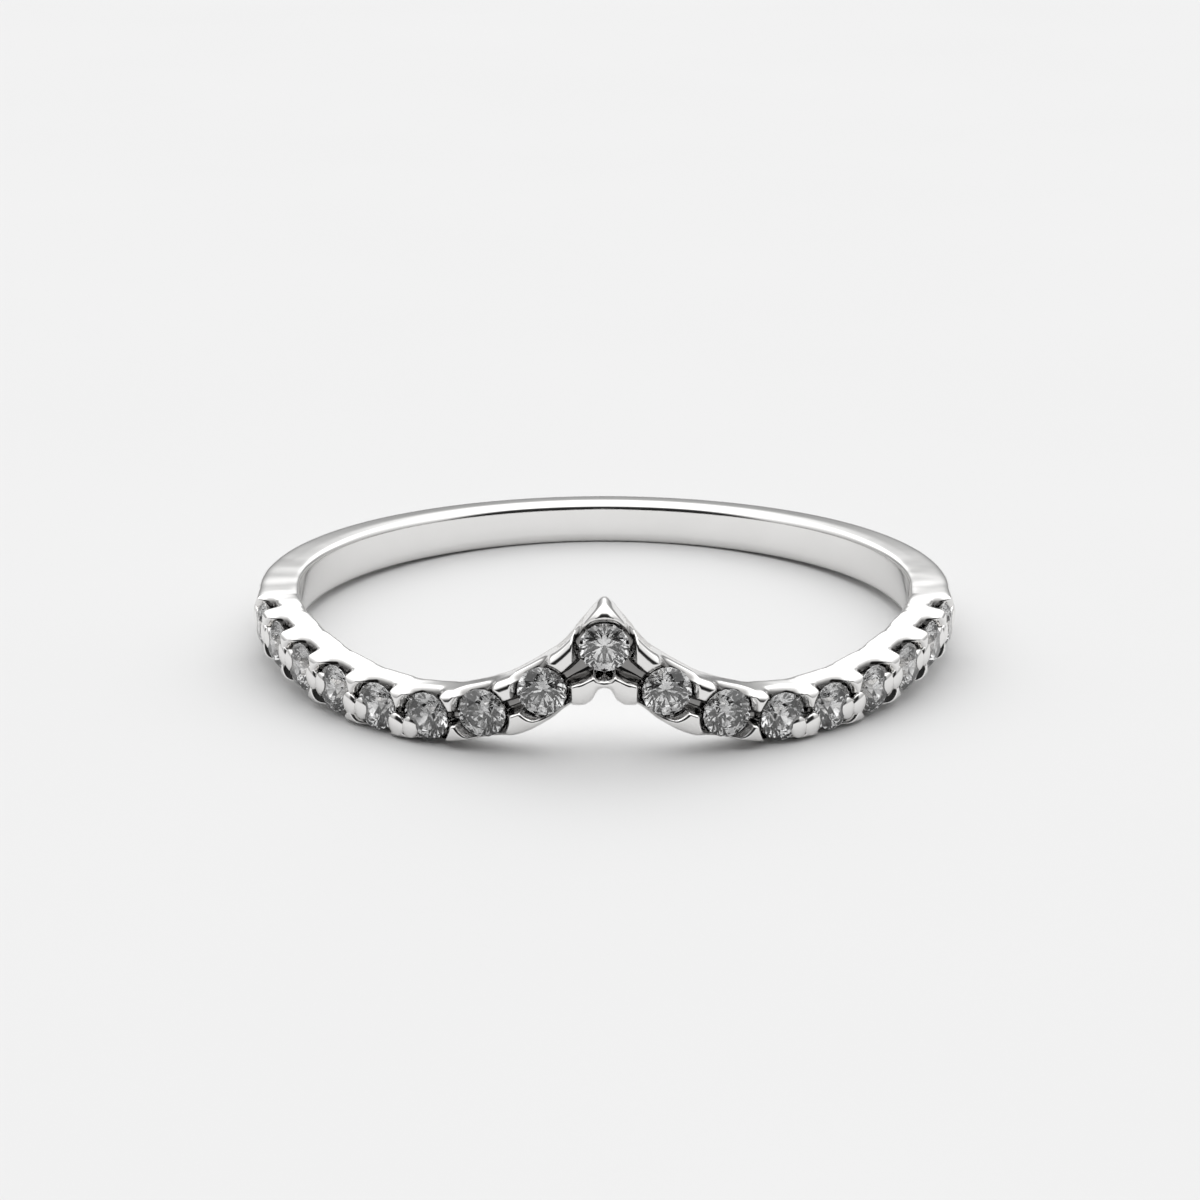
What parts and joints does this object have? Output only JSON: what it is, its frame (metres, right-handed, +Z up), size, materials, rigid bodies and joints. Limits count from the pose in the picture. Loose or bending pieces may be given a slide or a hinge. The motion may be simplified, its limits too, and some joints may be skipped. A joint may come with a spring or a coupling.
{
  "type": "chevron stacking ring",
  "caption": "Slim cast finger ring whose front rises to a chevron point, set with a row of small round stones between cut teeth.",
  "frame": {"origin": "on the axis of the finger hole, at the level of the floor the ring lies on", "axes": "+Z up out of the finger hole; -Y towards the chevron peak; +X to the right of the peak as seen from outside"},
  "size_m": [0.0196, 0.0199, 0.0042],
  "materials": {
    "metal": "high polish, bright white metal",
    "stone": "clear, facet cut"
  },
  "bodies": {
    "root": {"band": "metal", "stone_peak": "stone", "stone_left_1": "stone", "stone_left_2": "stone", "stone_left_3": "stone", "stone_left_4": "stone", "stone_left_5": "stone", "stone_left_6": "stone", "stone_left_7": "stone", "stone_left_8": "stone", "stone_right_1": "stone", "stone_right_2": "stone", "stone_right_3": "stone", "stone_right_4": "stone", "stone_right_5": "stone", "stone_right_6": "stone", "stone_right_7": "stone", "stone_right_8": "stone"}
  },
  "joints": []
}
